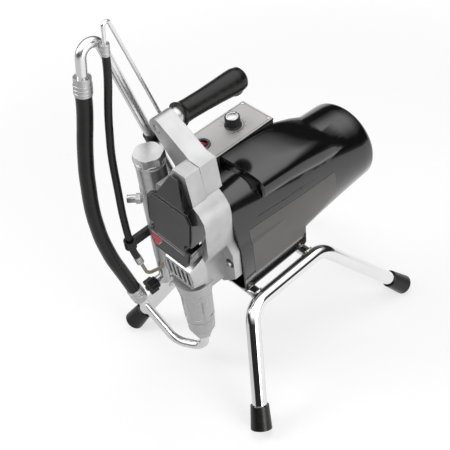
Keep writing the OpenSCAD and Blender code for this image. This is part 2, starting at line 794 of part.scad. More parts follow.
module cooling_fan() {
    color("dimgray")
        difference() {
            union() {
                ycyl(14, fan_y, fan_y + 14, 0, motor_z);
                ycyl(44, fan_y, fan_y + 2, 0, motor_z);
                for (i = [0 : 8])
                    translate([0, fan_y + 1, motor_z])
                        rotate([0, i * 40, 0])
                            translate([10, 0, -1])
                                cube([33, 12, 2]);
            }
            ycyl(shaft_r + run, fan_y - 1, fan_y + 20, 0, motor_z);
        }
}

// Pump ---------------------------------------------------------------------------------------------
rod_top = 272;
module yoke() {
    color("gray")
        slab(-pump_y - yoke_t / 2, -pump_y + yoke_t / 2) {
            difference() {
                translate([-window_w - yoke_wall, crank_z - window_h - yoke_wall])
                    square([2 * (window_w + yoke_wall), 2 * (window_h + yoke_wall)]);
                translate([-window_w, crank_z - window_h])
                    square([2 * window_w, 2 * window_h]);
            }
            translate([-8, rod_top])
                square([16, crank_z - window_h - yoke_wall - rod_top + 1]);
        }
}
head_top = 176;
head_h = 10;
module piston_rod() {
    color("silver")
        difference() {
            union() {
                zcyl(rod_r, head_top - 1, rod_top, 0, -pump_y);
                zcyl(bore_r - run, head_top - head_h, head_top, 0, -pump_y);
            }
            zcyl(4.5, head_top - head_h - 1, head_top - 4, 0, -pump_y);
        }
}
packing_top = 244;
module packing_nut() {
    color("silver")
        difference() {
            union() {
                zcyl(14, boss_top - 10, boss_top + 1, 0, -pump_y);
                translate([0, -pump_y, boss_top])
                    cylinder(r = 14.6, h = packing_top - boss_top, $fn = 6);
            }
            zcyl(rod_r + run, boss_top - 20, packing_top + 1, 0, -pump_y);
        }
}
module piston_packings() {
    color("ivory")
        for (z = [190, 196, 202, 208])
            difference() {
                zcyl(bore_r - run, z, z + 5.5, 0, -pump_y);
                zcyl(rod_r + run, z - 1, z + 7, 0, -pump_y);
            }
}
valve_low = 108;
module pump_cylinder() {
    color("silver")
        translate([0, -pump_y, 0])
            difference() {
                union() {
                    difference() {
                        rotate_extrude()
                            polygon([[0, pump_low], [pump_r - 3, pump_low], [pump_r - 2, pump_low + 2], [pump_r - 1, pump_top - 12],
                                [pump_r, pump_top - 10], [pump_r, pump_top], [0, pump_top]]);
                        for (a = [0 : 60 : 300])
                            rotate([0, 0, a + 15])
                                translate([pump_r - 2.6, -30, pump_low + 10])
                                    cube([20, 60, pump_top - 14 - pump_low - 10]);
                    }
                    cylinder(r = pump_neck_r, h = boss_top - 10);
                }
                translate([0, 0, -1])
                    cylinder(r = 60, h = pump_low + 1);
                translate([0, 0, 60])
                    cylinder(r = bore_r, h = 200);
                translate([0, 0, boss_top - 20])
                    cylinder(r = 14 + run, h = 40);
            }
}
ball_r = 7;
ball_z = 121;
module inlet_valve_housing() {
    color("silver")
        translate([0, -pump_y, 0])
            difference() {
                union() {
                    rotate_extrude()
                        polygon([[0, valve_low], [pump_r - 7, valve_low], [pump_r - 4, valve_low + 4], [pump_r - 3, pump_low], [0, pump_low]]);
                    translate([0, 0, pump_low - 1])
                        cylinder(r = bore_r - run, h = 11);
                }
                translate([0, 0, valve_low - 1])
                    cylinder(r = 5, h = 60);
                translate([0, 0, ball_z - 4.9])
                    cylinder(r = ball_r + 1.5, h = 15);
            }
}
module inlet_ball() {
    color("silver")
        translate([0, -pump_y, ball_z])
            sphere(r = ball_r);
}

// Manifold and filter ------------------------------------------------------------------------------
manifold_low = 205;
split_z = 357;
well_r = 17;
cap_h = 19;
port_a = 225;
port_z = 333;
nipple_dir = [cos(port_a), sin(port_a), 0];
filter_axis = [-filter_x, -filter_y, 0];
web_top_x = housing_w + 2 * (350 - shoulder_low) / (shoulder_high + 3 - shoulder_low);
module manifold() {
    color("gainsboro")
        difference() {
            union() {
                zcyl(filter_r, manifold_low, split_z, -filter_x, -filter_y);
                slab(-150, -128)
                    polygon([[-filter_x, 228], [-40, 228], [-block_w, 240], [-block_w, shoulder_low - 28],
                        [-housing_w, shoulder_low], [-web_top_x, 350], [-filter_x, 350]]);
            }
            zcyl(well_r, manifold_low + 8, split_z + 1, -filter_x, -filter_y);
            rod(filter_axis + [0, 0, port_z], filter_axis + nipple_dir * 40 + [0, 0, port_z], 5 + run);
        }
}
module filter_bowl() {
    color("silver")
        translate([-filter_x, -filter_y, 0])
            difference() {
                rotate_extrude()
                    polygon([[0, split_z], [filter_r, split_z], [filter_r, split_z + 3], [filter_r - 0.8, split_z + 4],
                        [filter_r - 0.8, filter_top - cap_h - 3], [filter_r, filter_top - cap_h - 2], [filter_r, filter_top - cap_h], [0, filter_top - cap_h]]);
                translate([0, 0, split_z - 1])
                    cylinder(r = well_r, h = 90);
            }
}
module filter_cap() {
    color("silver")
        translate([-filter_x, -filter_y, 0])
            difference() {
                union() {
                    translate([0, 0, filter_top - cap_h])
                        cylinder(r = filter_r - 1, h = 5);
                    translate([0, 0, filter_top - cap_h + 4])
                        intersection() {
                            cylinder(r = filter_r + 1.2, h = cap_h - 4, $fn = 6);
                            cylinder(r1 = filter_r + 6, r2 = filter_r - 1, h = cap_h - 4);
                        }
                    translate([0, 0, filter_top - cap_h - 12])
                        cylinder(r = well_r - run, h = 13);
                }
                translate([0, 0, filter_top - cap_h - 13])
                    cylinder(r = 12, h = 10);
            }
}
module filter_element() {
    color("white")
        translate([-filter_x, -filter_y, 0])
            difference() {
                union() {
                    translate([0, 0, manifold_low + 8])
                        cylinder(r = 11, h = filter_top - cap_h - 3 - manifold_low - 8);
                    for (i = [0 : 11])
                        translate([0, 0, manifold_low + 16 + i * 14])
                            cylinder(r = 13, h = 2);
                }
                translate([0, 0, manifold_low + 7])
                    cylinder(r = 8, h = 200);
            }
}
nipple_len = 24;
nipple_r = 6.6;
nipple_root = filter_axis + [0, 0, port_z] + nipple_dir * (filter_r - 0.5);
module outlet_nipple() {
    color("silver")
        difference() {
            union() {
                rod(nipple_root - nipple_dir * 6, nipple_root + nipple_dir * 2, 5);
                translate(nipple_root + nipple_dir * 1.5)
                    rotate([0, 90, port_a])
                        cylinder(r = 9, h = 8, $fn = 6);
                rod(nipple_root + nipple_dir * 9, nipple_root + nipple_dir * nipple_len, nipple_r);
            }
            rod(nipple_root - nipple_dir * 8, nipple_root + nipple_dir * (nipple_len + 1), 3);
        }
}
sensor_y = -filter_y + filter_r - 0.5;
module pressure_sensor() {
    color("silver")
        difference() {
            union() {
                ycyl(9, sensor_y - 3, sensor_y + 12, -filter_x, 300);
                ycyl(7, sensor_y + 12 - eps, sensor_y + 22, -filter_x, 300);
            }
            zcyl(filter_r + run, 280, 320, -filter_x, -filter_y);
        }
    color("black")
        bent_pipe([[-filter_x, sensor_y + 22, 300], [-filter_x, sensor_y + 34, 300], [-filter_x + 8, -box_front - 14, 330],
            [-filter_x + 8, -box_front, 330]], 4, 2);
}
valve_x = -100;
valve_y = -151;
valve_z = 150;
valve_face = -170;
knob_gap = 0.5;
module prime_valve_body() {
    color("silver")
        difference() {
            union() {
                zcyl(9.5, valve_z - 10, manifold_low, valve_x, valve_y);
                ycyl(8.5, valve_face, valve_y, valve_x, valve_z);
            }
            ycyl(4 + run, valve_face - 1, valve_y - 4, valve_x, valve_z);
        }
}
module prime_valve_knob() {
    color([0.08, 0.08, 0.08])
        union() {
            ycyl(4, valve_face - 4, valve_y - 5, valve_x, valve_z);
            ycyl(11, valve_face - 18, valve_face - knob_gap, valve_x, valve_z);
            for (i = [0 : 4])
                ycyl(4.6, valve_face - 19, valve_face - 4, valve_x + 10 * cos(72 * i + 18), valve_z + 10 * sin(72 * i + 18));
        }
}

// Hoses and tubes ----------------------------------------------------------------------------------
return_route = [[-115, -159, 601], [-115, -162, 577], [-115, -167, 552], [-115, -173, 527], [-114, -179, 502],
    [-113, -184, 476], [-113, -188, 449], [-112, -191, 421], [-111, -193, 393], [-110, -195, 365],
    [-109, -197, 338], [-108, -198, 313], [-106, -199, 291], [-105, -199, 272], [-105, -198, 257],
    [-105, -196, 243], [-105, -193, 230]];
suction_route = [[-130, -199, 551], [-130, -203, 528], [-130, -209, 503], [-130, -216, 477], [-130, -222, 450],
    [-130, -227, 424], [-129, -231, 397], [-129, -234, 370], [-128, -236, 344], [-127, -236, 318],
    [-126, -235, 292], [-124, -232, 265], [-121, -228, 238], [-118, -222, 212], [-115, -216, 186],
    [-110, -211, 161]];
function last(p) = p[len(p) - 1];
function end_up(p) = unit(p[0] - p[1]);
function end_down(p) = unit(last(p) - p[len(p) - 2]);
// Every other point, and both ends with the points next to them
function thinned(p) = [for (i = [0 : len(p) - 1]) if (i == 0 || i % 2 == 1 || i == len(p) - 2) p[i]];
module return_hose() {
    color([0.08, 0.08, 0.08])
        swept_tube(return_route, return_hose_od, 10);
}
module suction_hose() {
    color([0.08, 0.08, 0.08])
        swept_tube(thinned(suction_route), suction_hose_od, 12);
}
ferrule_len = 28;
small_ferrule_len = 18;
suction_top = suction_route[0] + end_up(suction_route) * ferrule_len;
suction_low = last(suction_route) + end_down(suction_route) * ferrule_len;
return_top = return_route[0] + end_up(return_route) * small_ferrule_len;
return_low = last(return_route) + end_down(return_route) * small_ferrule_len;
module ferrule(a, b, hose_d) {
    d = unit(b - a);
    difference() {
        union() {
            rod(a, b, hose_d / 2 + hose_d / 24);
            for (s = [3, 9, 15])
                rod(a + d * s, a + d * (s + 2.5), hose_d / 2 + hose_d / 14);
        }
        rod(a - d, b + d, hose_d / 4);
    }
}
module hose_ferrules() {
    color("silver") {
        ferrule(suction_route[0], suction_top, suction_hose_od);
        ferrule(last(suction_route), suction_low, suction_hose_od);
        ferrule(return_route[0], return_top, return_hose_od);
        ferrule(last(return_route), return_low, return_hose_od);
    }
}
strainer_top = 192;
strainer_low = 150;
suction_apex = suction_route[0] + end_up(suction_route) * 138;
suction_foot = [-130, -44.9, strainer_top];
tube_lean = unit(suction_foot - suction_apex);
tube_clip_z = 415;
function on_suction(z) = suction_foot + tube_lean * (z - strainer_top) / tube_lean[2];
suction_at_clip = on_suction(tube_clip_z);
module suction_tube() {
    color("silver")
        bent_pipe([suction_top, suction_apex, on_suction(strainer_top)], 18, suction_tube_od / 2, 1.5);
}
module inlet_strainer() {
    a = on_suction(strainer_top);
    b = on_suction(strainer_low);
    d = unit(b - a);
    color([0.2, 0.2, 0.2])
        difference() {
            union() {
                rod(a, b, 17, 15);
                rod(a - d * 12, a + d, suction_tube_od / 2 + 2.5);
            }
            rod(a + d * 3, b - d * 3, 12);
            rod(a - d * 13, a + d * 4, suction_tube_od / 2 + run);
            for (s = [8 : 7 : 36])
                for (ang = [0 : 45 : 135])
                    translate(a + d * s)
                        rotate([15, 0, ang])
                            cube([50, 4, 3], center = true);
        }
}
return_apex = return_route[0] + end_up(return_route) * 69.5;
return_foot = [-115, -13.2, 195];
return_lean = unit(return_foot - return_apex);
function on_return(z) = return_foot + return_lean * (z - 195) / return_lean[2];
return_at_clip = on_return(tube_clip_z);
module return_tube() {
    color("silver")
        bent_pipe([return_top, return_apex, on_return(195)], 5.5, return_tube_od / 2, 1);
}
module clip_ring(p, d, r, h) {
    difference() {
        rod(p - d * h / 2, p + d * h / 2, r + 3);
        rod(p - d * h, p + d * h, r + run);
    }
}
clip_h = 14;
clip_plate_y = arm_rear;
module tube_clip() {
    color([0.08, 0.08, 0.08]) {
        clip_ring(suction_at_clip, tube_lean, suction_tube_od / 2, clip_h);
        clip_ring(return_at_clip, return_lean, return_tube_od / 2, clip_h);
        difference() {
            union() {
                translate([-131, clip_plate_y, tube_clip_z - 6])
                    cube([103, 6, 12]);
                translate([-118, clip_plate_y, tube_clip_z - 6])
                    cube([6, 24, 12]);
            }
            rod(suction_at_clip - tube_lean * 20, suction_at_clip + tube_lean * 20, suction_tube_od / 2 + 2);
            rod(return_at_clip - return_lean * 20, return_at_clip + return_lean * 20, return_tube_od / 2 + 2);
        }
        clip_ring(on_suction(230), tube_lean, suction_tube_od / 2, clip_h);
        clip_ring(on_return(230), return_lean, return_tube_od / 2, clip_h);
        difference() {
            rod(on_suction(230), on_return(230), 4);
            rod(on_suction(260), on_suction(200), suction_tube_od / 2 + 2);
            rod(on_return(260), on_return(200), return_tube_od / 2 + 2);
        }
    }
}
module drain_elbow() {
    color("tan")
        bent_pipe([[-86, -160, manifold_low], [-86, -160, 191], return_low + end_down(return_route) * 38, return_low], 6, return_tube_od / 2, 1);
}
holder_z = 266;
module hose_holder() {
    p = [-105, -199, holder_z];
    color([0.08, 0.08, 0.08])
        difference() {
            union() {
                zcyl(return_hose_od / 2 + 4, holder_z - 8, holder_z + 8, p[0], p[1]);
                translate([-109, -199, holder_z - 8])
                    cube([8, 199 - filter_y, 16]);
            }
            zcyl(return_hose_od / 2 + 1.2, holder_z - 9, holder_z + 9, p[0], p[1]);
            zcyl(filter_r + run, holder_z - 9, holder_z + 9, -filter_x, -filter_y);
        }
}
pipe_z = 46;
suction_bend = [-48, -188, pipe_z];
pipe_corner = suction_low + end_down(suction_route) * 14;
nut_low = 87;
module suction_pipe() {
    color("silver")
        bent_pipe([[0, -pump_y, valve_low], [0, -pump_y, pipe_z], suction_bend, pipe_corner, suction_low], [24, 36, 24],
            suction_tube_od / 2, 1.5);
}
module swivel_nut() {
    color("silver")
        translate([0, -pump_y, 0])
            difference() {
                union() {
                    translate([0, 0, nut_low + 4])
                        cylinder(r = 17, h = valve_low - nut_low - 4, $fn = 6);
                    translate([0, 0, nut_low])
                        cylinder(r = 12, h = 6);
                }
                translate([0, 0, nut_low - 1])
                    cylinder(r = suction_tube_od / 2 + run, h = 40);
            }
}

// Controls -----------------------------------------------------------------------------------------
knob_spot = [-76, 18];
knob_r = 12.5;
knob_h = 18;
switch_spot = [-79, -46];
switch_r = 10;
lid_low = plate_z - sheet;
function box_shell(g) = [[-box_left + g, box_bottom + g], [box_corner[0] - g, box_bottom + g],
    [box_corner[0] - g, box_corner[1] + g / 2], [-box_right - g, box_step_z + g / 2], [-box_right - g, lid_low + (g > 0 ? 1 : 0)],
    [-box_left + g, lid_low + (g > 0 ? 1 : 0)]];
module control_box() {
    color([0.25, 0.25, 0.26])
        difference() {
            slab(-box_front, box_rear)
                polygon(box_shell(0));
            slab(-box_front + sheet, box_rear - sheet)
                polygon(box_shell(sheet));
            ycyl(6 + run, box_rear - 5, box_rear + 1, -88, 325);
            ycyl(2.5, -box_front - 1, -box_front + 5, -filter_x + 8, 330);
        }
}
module control_plate() {
    color("lightgray")
        difference() {
            translate([-box_left, -box_front, lid_low])
                cube([box_left - box_right, box_front + box_rear, sheet]);
            zcyl(3.5 + run, lid_low - 1, plate_z + 1, knob_spot[0], knob_spot[1]);
            zcyl(switch_r + run, lid_low - 1, plate_z + 1, switch_spot[0], switch_spot[1]);
            translate([-box_left - 1, 38, lid_low - 1])
                cube([3, 8, 5]);
        }
}
module potentiometer() {
    color("gray")
        translate([knob_spot[0], knob_spot[1], 0])
            difference() {
                union() {
                    translate([0, 0, lid_low - 14])
                        cylinder(r = 8, h = 14);
                    translate([0, 0, lid_low - 1])
                        cylinder(r = 3.5, h = 1 + sheet);
                }
                translate([0, 0, lid_low - 12])
                    cylinder(r = 2 + run, h = 20);
            }
}
module pressure_knob() {
    color([0.08, 0.08, 0.08])
        translate([knob_spot[0], knob_spot[1], 0]) {
            difference() {
                translate([0, 0, plate_z + 0.5])
                    cylinder(r = knob_r, h = knob_h - 0.5);
                for (i = [0 : 11])
                    rotate([0, 0, i * 30])
                        translate([knob_r + 0.6, 0, plate_z - 1])
                            cylinder(r = 1.8, h = knob_h + 3);
            }
            translate([0, 0, lid_low - 11])
                cylinder(r = 2, h = 14);
        }
}
module power_switch() {
    color([0.08, 0.08, 0.08])
        translate([switch_spot[0], switch_spot[1], 0])
            difference() {
                union() {
                    translate([0, 0, lid_low - 20])
                        cylinder(r = switch_r, h = 20 + sheet);
                    translate([0, 0, plate_z])
                        cylinder(r = switch_r + 2, h = 2);
                }
                translate([0, 0, lid_low - 12])
                    cylinder(r = 8.2, h = 20);
            }
}
rocker_tilt = 9;
module switch_rocker() {
    color("firebrick")
        translate([switch_spot[0], switch_spot[1], plate_z - 3])
            rotate([0, -rocker_tilt, 0])
                union() {
                    translate([-6.6, -4.2, -2])
                        cube([13.2, 8.4, 6]);
                    rotate([90, 0, 0])
                        cylinder(r = 1.2, h = 15.8, center = true);
                }
}
module circuit_board() {
    color("darkgreen") {
        translate([-104, -50, 308])
            cube([36, 108, 1.6]);
        for (x = [-100, -72])
            for (y = [-44, 52])
                zcyl(2.5, box_bottom + sheet, 308, x, y);
        translate([-98, -30, 309.6])
            cube([24, 40, 20]);
        for (y = [22, 42])
            zcyl(8, 309.6, 335, -84, y);
    }
}
module cable_gland() {
    color([0.08, 0.08, 0.08])
        translate([-88, 0, 325])
            rotate([-90, 0, 0])
                difference() {
                    union() {
                        translate([0, 0, box_rear - 5])
                            cylinder(r = 6, h = 10);
                        translate([0, 0, box_rear])
                            cylinder(r = 10, h = 8, $fn = 6);
                        translate([0, 0, box_rear + 7])
                            cylinder(r1 = 8.5, r2 = 6.5, h = 14);
                    }
                    translate([0, 0, box_rear - 6])
                        cylinder(r = 4, h = 40);
                }
}

left_leg_frame();
right_leg_frame();
cross_tubes();
front_left_boot();
front_right_boot();
rear_left_boot();
rear_right_boot();
mount_bridge();
drive_housing();
socket_screws();
front_cover();
badge_plate();
rod_guard();
handle_arm();
grip_core();
handle_grip();
motor_shroud();
belly_pan();
motor_front_bell();
motor_can();
motor_rear_bell();
ball_bearings();
rotor_shaft();
cooling_fan();
idler_gear();
crank_gear();
yoke();
piston_rod();
packing_nut();
piston_packings();
pump_cylinder();
inlet_valve_housing();
inlet_ball();
manifold();
filter_bowl();
filter_cap();
filter_element();
outlet_nipple();
pressure_sensor();
prime_valve_body();
prime_valve_knob();
drain_elbow();
return_hose();
return_tube();
hose_holder();
suction_pipe();
swivel_nut();
suction_hose();
hose_ferrules();
suction_tube();
inlet_strainer();
tube_clip();
control_box();
control_plate();
pressure_knob();
power_switch();
switch_rocker();
potentiometer();
circuit_board();
cable_gland();
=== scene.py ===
"""Airless paint sprayer: looks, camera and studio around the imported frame.

Points of pieces are written in millimetres, as the part's source has them. Blender gets metres.
"""
import json
import math

import bpy
from mathutils import Matrix, Vector
from mathutils.bvhtree import BVHTree


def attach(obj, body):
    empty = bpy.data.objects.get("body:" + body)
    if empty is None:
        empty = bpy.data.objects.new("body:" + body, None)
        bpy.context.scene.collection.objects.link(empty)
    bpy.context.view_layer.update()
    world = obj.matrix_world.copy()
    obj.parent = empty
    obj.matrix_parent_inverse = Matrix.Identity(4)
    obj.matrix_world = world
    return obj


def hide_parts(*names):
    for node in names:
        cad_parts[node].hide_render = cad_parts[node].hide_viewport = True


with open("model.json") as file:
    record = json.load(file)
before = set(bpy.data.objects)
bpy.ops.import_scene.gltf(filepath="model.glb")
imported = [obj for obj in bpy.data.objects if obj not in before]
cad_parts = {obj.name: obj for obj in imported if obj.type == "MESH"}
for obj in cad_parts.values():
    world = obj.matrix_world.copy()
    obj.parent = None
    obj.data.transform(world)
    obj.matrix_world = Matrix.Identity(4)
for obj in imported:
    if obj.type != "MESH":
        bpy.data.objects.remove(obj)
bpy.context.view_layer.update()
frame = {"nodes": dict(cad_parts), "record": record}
NODES = frame["nodes"]
MM = 0.001


def linked(name, data):
    """A new object in the scene."""
    obj = bpy.data.objects.new(name, data)
    bpy.context.scene.collection.objects.link(obj)
    return obj


# Camera: the photograph's view of the object ------------------------------------------------------
AZIMUTH, ELEVATION, ROLL = 51.72, 45.64, -7.56
CAMERA_AT = Vector((0.7384, -0.6676, 1.2530))
LENS, SENSOR, CLIP_END = 68.4, 36, 50


def add_camera():
    a, e, r = (math.radians(v) for v in (AZIMUTH, ELEVATION, ROLL))
    back = Vector((math.sin(a) * math.cos(e), -math.cos(a) * math.cos(e), math.sin(e)))
    level = (-back).cross(Vector((0, 0, 1))).normalized()
    rise = level.cross(-back)
    right = math.cos(r) * level + math.sin(r) * rise
    up = -math.sin(r) * level + math.cos(r) * rise
    cam = bpy.data.cameras.new("camera")
    cam.lens = LENS
    cam.sensor_width = SENSOR
    cam.clip_end = CLIP_END
    obj = linked("camera", cam)
    place = Matrix((right, up, back)).transposed().to_4x4()
    place.translation = CAMERA_AT
    obj.matrix_world = place
    bpy.context.scene.camera = obj


add_camera()


# Node helpers -------------------------------------------------------------------------------------
def grey(v, warm=0.0):
    return (v * (1 + warm), v, v * (1 - warm))


class Nodes:
    """Short calls that build a node tree. A value may be a number, a colour or another socket."""

    def __init__(self, tree):
        self.tree = tree

    def node(self, kind, **settings):
        n = self.tree.nodes.new(kind)
        for k, v in settings.items():
            setattr(n, k, v)
        return n

    def link(self, a, b):
        self.tree.links.new(a, b)

    def fill(self, *pairs):
        for socket, value in pairs:
            if isinstance(value, bpy.types.NodeSocket):
                self.link(value, socket)
            else:
                socket.default_value = value

    def maths(self, operation, a, b):
        n = self.node("ShaderNodeMath", operation=operation)
        self.fill((n.inputs[0], a), (n.inputs[1], b))
        return n.outputs[0]

    def vector_maths(self, operation, a, *others):
        n = self.node("ShaderNodeVectorMath", operation=operation)
        self.fill(*zip(n.inputs, (a, *others)))
        return n.outputs["Value"]

    def mixed_number(self, factor, a, b):
        n = self.node("ShaderNodeMix", data_type="FLOAT")
        self.fill((n.inputs["Factor"], factor), (n.inputs[2], a), (n.inputs[3], b))
        return n.outputs[0]

    def mixed_colour(self, factor, a, b):
        n = self.node("ShaderNodeMix", data_type="RGBA")
        self.fill((n.inputs["Factor"], factor), (n.inputs[6], a), (n.inputs[7], b))
        return n.outputs[2]

    def smooth_range(self, source, start, end, low, high):
        """From low to high as the source goes from start to end, with soft ends."""
        n = self.node("ShaderNodeMapRange", interpolation_type="SMOOTHSTEP")
        self.fill((n.inputs["Value"], source), (n.inputs["From Min"], start), (n.inputs["From Max"], end),
                  (n.inputs["To Min"], low), (n.inputs["To Max"], high))
        return n.outputs["Result"]

    def ramp(self, source, *stops):
        """A colour ramp. A stop is a position, and a grey level or a colour."""
        r = self.node("ShaderNodeValToRGB")
        e = r.color_ramp.elements
        while len(e) < len(stops):
            e.new(0.5)
        for i, (at, value) in enumerate(stops):
            e[i].position = at
            e[i].color = (*(grey(value) if isinstance(value, (int, float)) else value), 1)
        self.link(source, r.inputs["Fac"])
        return r.outputs["Color"]


class Shader(Nodes):
    """A material around its Principled shader."""
    BEVEL_SAMPLES = 4
    WORN, UNWORN = 0.80, 0.985      # how far the rounded normal agrees with the flat one
    NOISE_ROUGHNESS = 0.55

    def __init__(self, name):
        self.mat = bpy.data.materials.new(name)
        self.mat.use_nodes = True
        super().__init__(self.mat.node_tree)
        self.bsdf = self.tree.nodes["Principled BSDF"]
        self.out = self.tree.nodes["Material Output"]

    def put(self, **values):
        """Constants, set on the shader's own sockets."""
        for k, v in values.items():
            self.bsdf.inputs[k.replace("_", " ")].default_value = v
        return self

    def noise(self, scale, detail):
        coord = self.node("ShaderNodeTexCoord")
        n = self.node("ShaderNodeTexNoise")
        self.fill((n.inputs["Vector"], coord.outputs["Object"]), (n.inputs["Scale"], scale),
                  (n.inputs["Detail"], detail), (n.inputs["Roughness"], self.NOISE_ROUGHNESS))
        return n.outputs["Fac"]

    def rounded(self, radius):
        """Edges that catch the light: the shading normal is rounded over this radius."""
        n = self.node("ShaderNodeBevel", samples=self.BEVEL_SAMPLES)
        self.fill((n.inputs["Radius"], radius))
        return n.outputs["Normal"]

    def worn(self, source, rounded, light):
        """Lighter along edges, where the finish has rubbed off."""
        flat = self.node("ShaderNodeNewGeometry").outputs["Normal"]
        agree = self.vector_maths("DOT_PRODUCT", flat, rounded)
        edge = self.ramp(agree, (self.WORN, 1.0), (self.UNWORN, 0.0))
        return self.mixed_colour(edge, source, (*light, 1))

    def bump(self, source, strength, distance, normal):
        n = self.node("ShaderNodeBump")
        self.fill((n.inputs["Height"], source), (n.inputs["Strength"], strength),
                  (n.inputs["Distance"], distance))
        if normal is not None:
            self.link(normal, n.inputs["Normal"])
        return n.outputs["Normal"]


COLOUR_DETAIL, ROUGH_DETAIL, GRAIN_DETAIL = 4, 6, 3


def finish(name, colour, rough, scale, grain=None, edge=None, wear=None, **values):
    """A procedural finish. Colour and roughness each vary between two ends.

    grain is a bump's scale, strength and depth; edge is the radius that edges are rounded over;
    wear is the colour of rubbed edges; values go to the shader's own sockets.
    """
    s = Shader(name).put(**values)
    normal = s.rounded(edge) if edge else None
    paint = s.ramp(s.noise(scale, COLOUR_DETAIL), (0.3, colour[0]), (0.7, colour[1]))
    if wear:
        paint = s.worn(paint, normal, wear)
    dull = s.ramp(s.noise(scale * 4, ROUGH_DETAIL), (0.3, rough[0]), (0.72, rough[1]))
    s.fill((s.bsdf.inputs["Base Color"], paint), (s.bsdf.inputs["Roughness"], dull))
    if grain:
        normal = s.bump(s.noise(grain[0], GRAIN_DETAIL), grain[1], grain[2], normal)
    if normal is not None:
        s.link(normal, s.bsdf.inputs["Normal"])
    return s.mat


# Finishes of the record's slots -------------------------------------------------------------------
SLOT_FINISHES = {
    "chrome_tube": dict(colour=(grey(0.74), grey(0.80)), rough=(0.05, 0.10), scale=12, Metallic=1.0),
    "cast_alloy": dict(colour=(grey(0.44), grey(0.52)), rough=(0.34, 0.46), scale=35,
                       grain=(1100, 0.16, 0.0003), edge=0.0009, wear=grey(0.72), Metallic=0.75),
    "bright_steel": dict(colour=(grey(0.46), grey(0.54)), rough=(0.30, 0.38), scale=90,
                         grain=(900, 0.04, 0.00006), edge=0.0006, wear=grey(0.8), Metallic=0.85),
    "plain_steel": dict(colour=(grey(0.46), grey(0.58)), rough=(0.26, 0.4), scale=40,
                        grain=(700, 0.06, 0.0001), edge=0.0004, Metallic=1.0),
    "gloss_black": dict(colour=(grey(0.003), grey(0.006)), rough=(0.10, 0.15), scale=14,
                        grain=(35, 0.02, 0.001), edge=0.0012, IOR=1.55,
                        Coat_Weight=0.4, Coat_Roughness=0.07),
    "matte_black": dict(colour=(grey(0.008), grey(0.015)), rough=(0.34, 0.48), scale=60,
                        grain=(1400, 0.12, 0.0002), edge=0.0005, wear=grey(0.05), Specular_IOR_Level=0.35),
    "black_rubber": dict(colour=(grey(0.004), (0.009, 0.009, 0.008)), rough=(0.24, 0.36), scale=45,
                         grain=(1100, 0.06, 0.0002), edge=0.0005, Specular_IOR_Level=0.35),
    "badge_grey": dict(colour=(grey(0.034), grey(0.046)), rough=(0.30, 0.40), scale=30,
                       grain=(1600, 0.1, 0.0001), edge=0.0004, wear=grey(0.14), Metallic=0.2),
    "dark_steel": dict(colour=(grey(0.07), grey(0.11)), rough=(0.4, 0.5), scale=20,
                       grain=(600, 0.08, 0.0002), edge=0.0005, Metallic=0.9),
    "packing": dict(colour=((0.72, 0.66, 0.5), (0.8, 0.75, 0.6)), rough=(0.5, 0.6), scale=80),
    "filter_mesh": dict(colour=(grey(0.5), grey(0.75)), rough=(0.5, 0.6), scale=300),
    "tan_tube": dict(colour=((0.36, 0.30, 0.20), (0.48, 0.41, 0.29)), rough=(0.25, 0.4), scale=40),
    "box_grey": dict(colour=(grey(0.030), grey(0.045)), rough=(0.35, 0.45), scale=30,
                     grain=(1200, 0.12, 0.0002), edge=0.0006, wear=grey(0.2)),
    "plate_grey": dict(colour=(grey(0.50, 0.012), grey(0.56, 0.012)), rough=(0.35, 0.45), scale=25,
                       grain=(1500, 0.1, 0.0002), edge=0.0004, wear=grey(0.6), Metallic=0.3),
    "signal_red": dict(colour=((0.42, 0.025, 0.03), (0.52, 0.035, 0.04)), rough=(0.25, 0.35), scale=50),
    "board_green": dict(colour=((0.02, 0.12, 0.05), (0.03, 0.2, 0.08)), rough=(0.3, 0.5), scale=120),
}

# Finishes of single nodes and pieces
EXTRA_FINISHES = {
    "panel_grey": dict(colour=(grey(0.070, 0.03), grey(0.084, 0.03)), rough=(0.30, 0.40), scale=12,
                       grain=(1500, 0.05, 0.0001)),
    "soft_chrome": dict(colour=(grey(0.72), grey(0.80)), rough=(0.20, 0.27), scale=20,
                        grain=(800, 0.03, 0.00005), Metallic=0.9),
    "machined": dict(colour=(grey(0.44), grey(0.49)), rough=(0.20, 0.26), scale=150,
                     grain=(900, 0.03, 0.00004), edge=0.0005, wear=grey(0.85), Metallic=1.0),
    "print_light": dict(colour=(grey(0.55), grey(0.65)), rough=(0.4, 0.5), scale=90),
    "print_dark": dict(colour=(grey(0.02), grey(0.03)), rough=(0.4, 0.5), scale=90),
    "weld": dict(colour=((0.42, 0.33, 0.22), grey(0.62)), rough=(0.16, 0.34), scale=90,
                 grain=(500, 0.2, 0.0004), Metallic=1.0),
    "spun_silver": dict(colour=(grey(0.66), grey(0.74)), rough=(0.30, 0.40), scale=60,
                        grain=(900, 0.02, 0.00003), edge=0.0005, Metallic=0.75),
}
MATERIALS = {name: finish(name, **values) for name, values in {**SLOT_FINISHES, **EXTRA_FINISHES}.items()}


# Shading of the CAD solids ------------------------------------------------------------------------
WELD_DISTANCE = 2e-6
SHARP_FROM, MOULDED_SHARP_FROM = 32, 66


